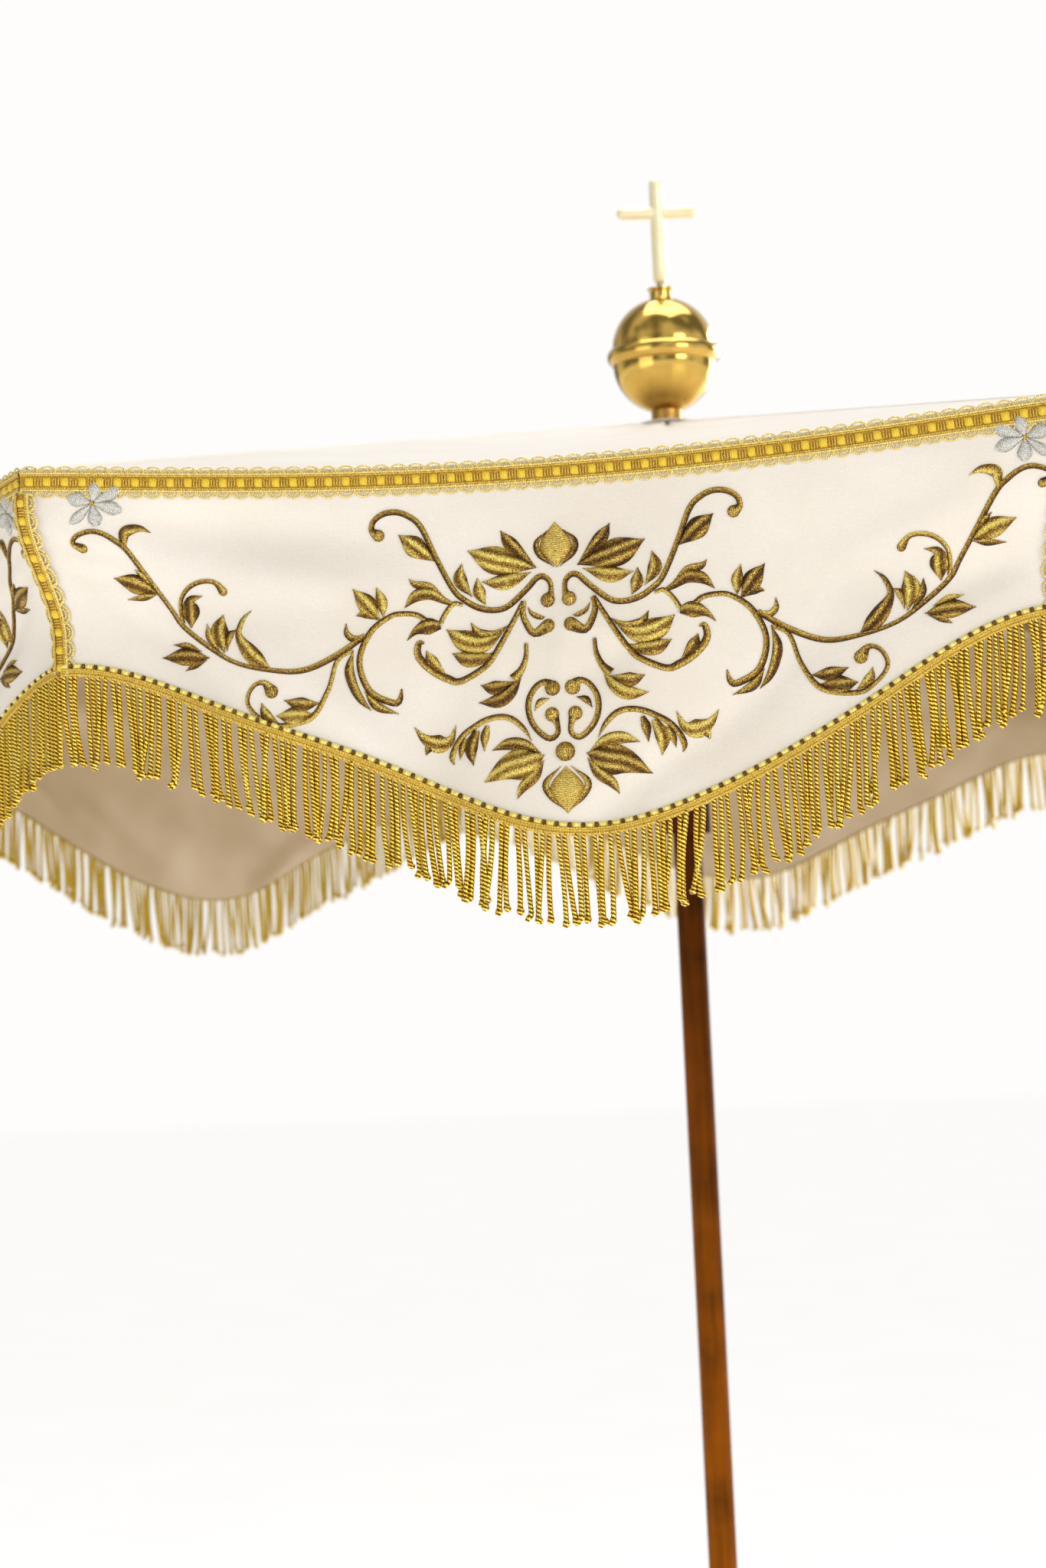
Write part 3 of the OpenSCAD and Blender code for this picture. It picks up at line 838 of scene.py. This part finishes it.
def fringe(k):
    """Hanging strands of twisted bullion, notched by their lay, with rounded lower ends."""
    rng = np.random.default_rng(40 + k)
    batch = Batch(k)
    s = strand_places(rng)
    count = len(s)

    def each(values):
        return values[:, None, None]

    x0, d0 = HEM_PATH.at(s, HEADER_W - FRINGE_TUCK)
    share = panel_share(x0, d0)
    radial = APOTHEM - inset(k, share, d0) + rng.uniform(-0.2, 1.6, count)
    length = FRINGE_L + rng.normal(0, 1.6, count)
    drift = rng.normal(0, 2.3, count) + 2.6 * np.sin(s / 17 + k)
    forward = rng.normal(0, 1.3, count)
    rings = int(3 * FRINGE_L / LAY)
    fall = np.append(np.linspace(0, 0.965, rings), [0.98, 0.99, 0.997, 1.0])[None, :, None]
    thick = np.interp(fall, [0, 0.1, 0.8, 0.91, 0.955, 0.975, 0.992, 1],
                      [0.8, 0.94, 1.0, 1.04, 1.5, 1.4, 0.8, 0.08])
    turn = full_turn(STRAND_SIDES)
    across, out = ring_section(STRAND_SIDES)
    along = each(length) * fall
    notch = 1 + 0.14 * np.sin(2 * math.pi * along / LAY + 2 * turn)
    thick = thick * notch * STRAND_R * each(rng.uniform(0.9, 1.1, count))
    sway = fall ** 1.5
    bow = np.sin(math.pi * fall) * each(rng.normal(0, 0.9, count))
    hook = each(rng.normal(0, 1.1, count)) * smooth_step((fall - 0.9) / 0.1)
    x = each(x0) + each(drift) * sway + bow + hook + thick * across
    r = each(radial) + each(forward) * sway + thick * out
    z = RIM_Z - (each(d0) + along) + 0 * across
    tone = np.clip((np.arange(count) % 2) * 0.7 + rng.uniform(-0.1, 0.35, count), 0, 1)
    batch.grid(place(k, r, x, z), each(share), fold_point(k, share)[:, None, None, :], closed=True,
               along=along, across=turn, tone=each(tone))
    return batch.build(f"fringe_{k}", [CORD], [f"valance_trim_{k}"])


# -------------------- embroidery
# Half of the motif, as strokes of laid thread. Each point is (distance from the middle line,
# depth below the rim, width of the stroke there), and the other half mirrors it.

CURLS = [
    [(275, 41.5, 4.6), (280.5, 38.5, 2.8), (278, 34.5, 2.4), (270, 32, 2.6), (263, 33.5, 2.6),
     (256, 38, 2.8), (250, 43.5, 2.8), (240, 59, 2.6), (228, 78, 2.4), (221, 89, 2.6),
     (205, 102.5, 2.6), (190, 112, 2.2), (170, 117.5, 2.4), (150, 119, 3), (130, 111.5, 3.2),
     (113, 101, 3)],
    [(221, 87, 2), (222, 80, 2.2), (221, 73, 2.2), (216, 67, 2.4), (208, 64, 2.4), (200, 65, 2.4),
     (195.5, 70.5, 4.6)],
    [(121, 109, 2.5), (130, 115, 2.2), (136, 132, 2.4), (147, 146.5, 3), (167, 150, 2.6),
     (177, 145, 2.2), (183.5, 138, 2.2), (184, 132, 2.2), (180, 126, 2.2), (174, 124.5, 3), (169.5, 130, 7)],
    [(55.8, 86.7, 2), (60, 85.4, 2.2), (63.3, 87.5, 2.4), (67, 92, 2.4), (69, 95.8, 2.6)],
    [(77.5, 94.2, 2.6), (82.5, 90.8, 2.6), (90, 89.6, 2.6), (98.3, 90.8, 2.6), (110, 99.5, 3),
     (117, 116, 3), (112, 133, 3.4), (99, 140.5, 3.4), (95, 138.5, 2.8), (93.8, 132.5, 0.6)],
    [(102.5, 44, 6.4), (106.3, 40.8, 3.4), (105, 35.8, 2.8), (99.2, 32, 3), (91.7, 31.3, 3), (84.2, 34.2, 3),
     (77.5, 40.8, 3), (70, 58.3, 2.8), (60.8, 77.5, 2.8), (54.2, 84.2, 3), (46.7, 88.8, 3.2),
     (37.5, 90.8, 3), (29.2, 88.8, 3), (17.5, 79.2, 3), (12.5, 74.2, 3), (8.3, 73.3, 3),
     (4.6, 76.7, 2.6), (4.2, 82.5, 3), (6.3, 87, 7.6)],
    [(20.4, 86.7, 3), (21.3, 93.3, 3), (19.2, 100, 3.4), (15, 105.4, 4), (6.7, 101.7, 7)],
    [(21.7, 88.3, 2), (26.7, 97.5, 2.6), (39.2, 117.5, 3), (46.7, 124.2, 3.2), (60, 130, 3.4),
     (66.7, 128.3, 4), (74.2, 124.2, 4), (80.8, 118.3, 4), (83.8, 112.5, 3.6), (82.5, 106.7, 3),
     (79.6, 107, 1)],
    [(20, 110.8, 2), (20.4, 118.3, 2.4), (23.3, 125.8, 3.5), (28.3, 130.8, 5)],
    [(5.8, 137.5, 8), (10, 133.8, 3.4), (15, 135.8, 3), (19.2, 141.7, 3), (20.4, 148.3, 3), (18.8, 155.8, 3),
     (14.2, 162.5, 3), (8.3, 166.3, 3), (3.8, 163.3, 2.6), (4.2, 157.5, 3), (6.7, 152.5, 7.4)],
    [(19.2, 167, 0), (23.3, 160, 2.4), (30, 153.8, 3), (37.5, 152, 3), (45.8, 153.3, 3),
     (53.3, 156.7, 3), (60, 160.8, 3), (65, 166.7, 3), (67.5, 173.3, 3), (66.3, 177.5, 0.5)],
]
LEAVES = [
    [(235.2, 34.3, 0), (242, 31.5, 3), (250, 33.5, 5), (251, 41, 2)],
    [(260, 58.7, 0), (247, 63, 8), (234.5, 69, 0)],
    [(253.8, 71.2, 0), (243, 70.5, 3), (235, 69.5, 0)],
    [(246.5, 55, 0), (242, 59, 3), (238, 64, 0)],
    [(208, 72.2, 0), (215.5, 74, 4), (216, 81, 8), (216.5, 90, 0)],
    [(196.7, 83.5, 0), (199.5, 93, 8), (197, 106, 0)],
    [(206.8, 88, 0), (205.5, 96, 3.5), (199.5, 105, 0)],
    [(189.5, 92.8, 0), (193.5, 96, 3.5), (195.5, 105, 0)],
    [(235.2, 106, 0), (221, 106, 8), (206.2, 108, 0)],
    [(229, 98.5, 0), (220, 100, 3), (211, 104, 0)],
    [(221.5, 114.5, 0), (216, 111.5, 3), (208, 109, 0)],
    [(179.5, 82.2, 0), (185, 87, 2), (188, 96, 3), (182, 106, 7), (176, 112, 6), (170, 116, 0)],
    [(162.5, 135.5, 0), (152, 138.5, 6), (141, 138.5, 0)],
    [(167.5, 144.2, 0), (157, 145, 8), (146, 144, 0)],
    [(175.8, 136.2, 0), (173.5, 143, 4.5), (166, 148.5, 0)],
    [(123.5, 93.5, 0), (123.5, 99, 2.5), (120, 102.5, 3), (115, 102, 2)],
    [(118.5, 74.2, 0), (111, 83, 8), (104, 92.5, 0)],
    [(105, 73.8, 0), (102.5, 82, 5), (102, 91.5, 0)],
    [(117.5, 89.5, 0), (112, 88.5, 4), (105, 92.5, 0)],
    [(120, 109, 0), (123, 120, 4), (121, 130, 4), (117, 138, 3), (111.5, 144.3, 0)],
    [(115, 133, 0), (108, 142, 4), (96, 147, 0)],
    [(89.6, 86.5, 0), (82.5, 80, 5), (74.2, 79.2, 5), (66.7, 83.3, 3), (60.8, 86.3, 1.5)],
    [(86, 70, 0), (82.5, 73.3, 3), (74.2, 75, 3), (66.7, 80.8, 0)],
    [(89.2, 105, 0), (84.2, 100, 3), (76.7, 97.5, 7), (69.2, 97.5, 3)],
    [(91, 44.3, 0), (81.7, 51.7, 9), (70.8, 60.8, 0)],
    [(55, 62.9, 0), (56.3, 72.5, 6), (50, 82.5, 0)],
    [(46.5, 71.8, 0), (45.8, 80, 5.5), (42.5, 87.5, 0)],
    [(51.5, 56, 0), (35, 62.5, 12), (12, 68.3, 0)],
    [(31.7, 45.6, 0), (25.8, 54.2, 6), (12, 68, 0)],
    [(44.2, 74.2, 0), (30.8, 75, 7), (15, 70.4, 0)],
    [(4.6, 47.5, 0), (11.2, 54, 2.2), (9.6, 61, 2.6), (1.7, 68.3, 0)],
    [(18.3, 90, 0), (15.8, 94.2, 2), (10.8, 96.7, 2), (8.3, 96.5, 0)],
    [(78.8, 111.3, 0), (75.8, 117.5, 5), (68.3, 125.8, 0)],
    [(51.7, 97, 0), (46.7, 104.2, 5), (38.3, 105, 4), (30, 100, 0)],
    [(66.3, 100, 0), (56.7, 106.7, 9), (45, 109.2, 8), (32.5, 103.3, 0)],
    [(63.9, 113.8, 0), (55, 117.5, 7), (43.3, 117.5, 4), (40, 115, 0)],
    [(47.9, 133.3, 0), (39.2, 135.4, 6), (27.5, 132.5, 0)],
    [(49.6, 143.2, 0), (38.3, 142.9, 6), (30, 138.3, 5), (23.3, 129.2, 0)],
    [(7.7, 143.3, 0), (13.3, 145, 3), (16.7, 150, 0)],
    [(3.0, 182.5, 0), (12, 191.5, 2.8), (9.2, 199.5, 2.6), (2.6, 206.5, 0)],
    [(48.6, 189, 0), (35, 181.7, 10), (23.3, 179, 13), (12, 175.4, 0)],
    [(42.9, 171, 0), (33.3, 168, 5), (23.3, 169.2, 5), (14.2, 174.2, 0)],
    [(29.2, 199.6, 0), (25.8, 193.3, 4), (18.3, 186.7, 5), (12.5, 178.3, 0)],
    [(45, 156.7, 2), (47, 163, 4), (47.7, 171.3, 0)],
    [(51.7, 159, 3), (55.8, 169, 6), (54.6, 179, 0)],
    [(59, 163, 2), (61.5, 169, 3), (62.7, 175, 0)],
    [(87.9, 154.8, 0), (82.5, 161.7, 4), (75, 165, 8), (68.3, 163.3, 4), (64.3, 154.6, 0)],
    [(82, 171.3, 0), (80, 167, 4), (74, 165, 3)],
]
KNOTS = [(275, 41.5, 2.5), (195.5, 70.5, 2.5), (169.5, 130, 4), (102.5, 44, 3.5), (6.3, 87, 4.3),
         (6.7, 101.7, 4), (5.8, 137.5, 4.5), (6.7, 152.5, 4.2)]
BUDS = [(42.8, 56.5, 68.8, 9.2), (182.5, 195, 209.3, 9.6)]
MIDDLE_KNOT = (0, 174, 5.7)
PETALS = [(264, 4.5, 9), (250, 8.5, 8), (251, 21, 8), (266, 29, 8.5), (280, 27, 6), (280, 12, 9)]
FLOWER = (266.8, 16.2)


def spline(points, spacing=2.0):
    """A smooth line through the points, sampled evenly; each row is distance, depth and width."""
    p = np.array(points, float)
    ends = np.concatenate([[2 * p[0] - p[1]], p, [2 * p[-1] - p[-2]]])
    rows = []
    for i in range(len(p) - 1):
        a, b, c, e = ends[i:i + 4]
        steps = max(3, int(np.hypot(*(c - b)[:2]) / spacing))
        t = np.linspace(0, 1, steps, endpoint=False)[:, None]
        bend = (2 * a - 5 * b + 4 * c - e) * t ** 2 + (3 * b - a - 3 * c + e) * t ** 3
        rows.append(0.5 * (2 * b + (c - a) * t + bend))
    rows.append(p[-1:])
    line = np.concatenate(rows)
    line[:, 2] = np.maximum(line[:, 2], 0.2)
    return line


def stroke(batch, line, side, slot, tone, fat=1.0):
    """A raised ridge of thread along the line; side is 1 for the right half and -1 for the left."""
    centre = line[:, :2]
    ahead = np.gradient(centre, axis=0)
    ahead = ahead / np.maximum(np.linalg.norm(ahead, axis=1, keepdims=True), 1e-6)
    beside = np.stack([-ahead[:, 1], ahead[:, 0]], axis=1)
    v = np.array([-1, -0.75, -0.3, 0.3, 0.75, 1])
    width = line[:, 2] * fat
    flat = centre[:, None, :] + (v[None, :, None] * width[:, None, None] / 2) * beside[:, None, :]
    rise = (0.6 + 0.17 * width)[:, None] * (1 - v * v)[None, :] ** 0.6
    length = np.append(0, np.cumsum(np.linalg.norm(np.diff(centre, axis=0), axis=1)))
    x = MOTIF_SHIFT + side * flat[..., 0]
    batch.on_valance(x, flat[..., 1] - MOTIF_RISE, 0.15 + rise, slot=slot, along=length[:, None] + 0 * v,
                     across=v * width[:, None] / 2, tone=tone, edge=np.abs(v) + 0 * width[:, None])


def knot(batch, x, d, radius, slot, tone):
    """A domed dot of laid thread."""
    ring = np.linspace(0, 1, 6)[:, None]
    across, up = ring_section(12)
    batch.on_valance(x + radius * ring * across, d - MOTIF_RISE + radius * ring * up,
                     0.2 + 0.5 * radius * np.sqrt(1 - ring ** 2) + 0 * across, slot=slot, closed=True,
                     along=radius * ring * across, tone=tone, edge=ring + 0 * across)


def embroidery(k):
    rng = np.random.default_rng(70 + k)
    batch = Batch(k)
    for side in (-1, 1):
        for line in CURLS:
            stroke(batch, spline(line), side, 0, rng.uniform(-0.3, 0.3), 1.15)
        for line in LEAVES:
            stroke(batch, spline(line, 1.5), side, 0, rng.uniform(-0.5, 0.5), 1.36)
        for u, d, radius in KNOTS:
            knot(batch, MOTIF_SHIFT + side * u, d, radius, 0, rng.uniform(0, 0.5))
    knot(batch, MOTIF_SHIFT + MIDDLE_KNOT[0], MIDDLE_KNOT[1], MIDDLE_KNOT[2], 0, 0.2)
    for top, widest, bottom, reach in BUDS:
        bud = spline([(0, top, 0), (0, widest, 2 * reach), (0, bottom, 0)], 1.0)
        bulge = np.interp(bud[:, 1], [top, widest, bottom], [0, 0.5, 1])
        bud[:, 2] = 0.3 + 2 * reach * np.sin(math.pi * bulge) ** 1.15
        stroke(batch, bud, 1, 1, 0.1)
    return batch.build(f"embroidery_{k}", [GOLD, PALE_GOLD])


def silver_flowers(k):
    """One open flower in each upper corner of the panel."""
    batch = Batch(k)
    for side in (-1, 1):
        for u, d, width in PETALS:
            middle = ((FLOWER[0] + 2 * u) / 3, (FLOWER[1] + 2 * d) / 3, width)
            petal = spline([FLOWER + (0.6,), middle, (u, d, 0.4 * width)], 1.2)
            stroke(batch, petal, side, 0, 0.2)
        knot(batch, MOTIF_SHIFT + side * FLOWER[0], FLOWER[1], 2.2, 1, 0.3)
    return batch.build(f"silver_flowers_{k}", [SILVER, GOLD])


# -------------------- finishes of the frame's own nodes

def finish_frame():
    brass = metal("polished_brass", (228, 190, 98), (158, 114, 36), 0.1, 30, 0.35)
    # gilt of the cross, its colours paled nearly to white as a painted highlight
    gilt = metal("gilt_painted_highlight", (255, 247, 214), (240, 216, 152), 0.45, 60, 0.3)
    fittings = metal("satin_brass", (206, 160, 82), (128, 88, 40), 0.3, 70, 0.6)
    steel = metal("steel_wire", (190, 190, 186), (112, 106, 98), 0.32, 60, 0.5)
    ribs = metal("rib_metal", (196, 182, 150), (128, 110, 82), 0.34, 40, 0.5)
    pole = stained_wood("pole_wood", (44, 18, 0), (132, 70, 0), 1.25, 1.8)
    runner = stained_wood("runner_wood", (66, 26, 10), (84, 36, 14), 1.0, 1.9)
    finishes = [
        (gilt, ["finial_cross"]),
        (brass, ["finial_collar", "orb_upper_shell", "orb_bead_ring", "orb_lower_shell"]),
        (steel, ["finial_stud", "crown_pivot_ring", "runner_pivot_ring"]),
        (fittings, ["top_ferrule", "crown_hub", "coupling_socket", "coupling_spigot", "foot_ferrule",
                    "runner_sleeve", "thumb_screw_insert", "thumb_screw"]),
        (SATIN, ["crown_cap"]),
        (pole, ["upper_pole", "lower_pole"]),
        (runner, ["runner_hub"]),
        (ribs, [f"{kind}_{k}" for kind in ("rib", "stretcher") for k in range(1, PANELS + 1)]),
    ]
    for material, names in finishes:
        for name in names:
            mesh = frame["nodes"][name].data
            mesh.materials.clear()
            mesh.materials.append(material)


# -------------------- studio
# Sizes and places here are in metres.

FLOOR_SIZE = 60
LAMP_AIM = 1.7
CAMERA_AT = (0.2660, -2.4976, 1.6118)
FOCUS_HEIGHT = 1.8
SENSOR_H = 36
FOCAL_LENGTH = 73.49
F_STOP = 9
AZIMUTH = -0.15661
PITCH = 0.05406
ROLL = 0.04627


def studio():
    bpy.ops.mesh.primitive_plane_add(size=FLOOR_SIZE, location=(0, 0, 0))
    floor = bpy.context.object
    floor.name = "floor"
    floor.data.materials.append(floor_paint())
    world = bpy.data.worlds.new("studio")
    bpy.context.scene.world = world
    world.use_nodes = True
    tree = world.node_tree
    back = tree.nodes["Background"]
    path = add(tree, "ShaderNodeLightPath").outputs
    direct = add(tree, "ShaderNodeMapRange", {"Value": path["Is Camera Ray"], "To Min": 0.4, "To Max": 1.02})
    sky = add(tree, "ShaderNodeTexCoord").outputs["Generated"]
    room = add(tree, "ShaderNodeTexNoise", {"Vector": sky, "Scale": 1.7, "Detail": 1.0}).outputs["Fac"]
    panels = add(tree, "ShaderNodeMapRange", {"Value": room, "From Min": 0.4, "From Max": 0.62,
                                              "To Min": 0.2, "To Max": 0.78})
    mirror = path["Is Glossy Ray"]
    strength = add(tree, "ShaderNodeMix", {"Factor": mirror, "A": direct.outputs[0], "B": panels.outputs[0]})
    tree.links.new(strength.outputs[0], back.inputs["Strength"])
    back.inputs["Color"].default_value = linear(252, 251, 250)
    lamp("key", (3.0, -3.0, 2.9), 1.6, 45)
    lamp("fill", (-2.4, -3.4, 2.2), 2.4, 20)
    lamp("top", (0.2, 0.6, 5.2), 3.0, 96)
    lamp("back", (2.0, 3.2, 2.4), 2.0, 95)


def lamp(name, location, size, power):
    """A square lamp that shines at the canopy's middle."""
    light = bpy.data.lights.new(name, "AREA")
    light.size = size
    light.energy = power
    item = bpy.data.objects.new(name, light)
    item.location = location
    aim = Vector((0, 0, LAMP_AIM)) - Vector(location)
    item.rotation_euler = aim.to_track_quat("-Z", "Y").to_euler()
    bpy.context.scene.collection.objects.link(item)


def camera():
    """Nearly level, a little below the rim, turned and rolled as a hand-held camera is."""
    forward = Vector((math.sin(AZIMUTH) * math.cos(PITCH), math.cos(AZIMUTH) * math.cos(PITCH),
                      math.sin(PITCH)))
    level = Vector((math.cos(AZIMUTH), -math.sin(AZIMUTH), 0))
    upright = level.cross(forward)
    right = math.cos(ROLL) * level - math.sin(ROLL) * upright
    up = math.sin(ROLL) * level + math.cos(ROLL) * upright
    lens = bpy.data.cameras.new("camera")
    lens.sensor_fit = "VERTICAL"
    lens.sensor_height = SENSOR_H
    lens.lens = FOCAL_LENGTH
    focus = bpy.data.objects.new("focus", None)
    focus.location = (0, -APOTHEM * MM, FOCUS_HEIGHT)
    bpy.context.scene.collection.objects.link(focus)
    lens.dof.use_dof = True
    lens.dof.focus_object = focus
    lens.dof.aperture_fstop = F_STOP
    item = bpy.data.objects.new("camera", lens)
    turn = Matrix((right, up, -forward)).transposed().to_4x4()
    item.matrix_world = Matrix.Translation(CAMERA_AT) @ turn
    bpy.context.scene.collection.objects.link(item)
    bpy.context.scene.camera = item


finish_frame()
for panel in range(1, PANELS + 1):
    canopy_panel(panel)
    roof_seam(panel)
    top_braid(panel)
    seam_braid(panel)
    fringe_header(panel)
    fringe(panel)
    embroidery(panel)
    silver_flowers(panel)
studio()
camera()
bpy.context.scene.view_settings.view_transform = "Standard"
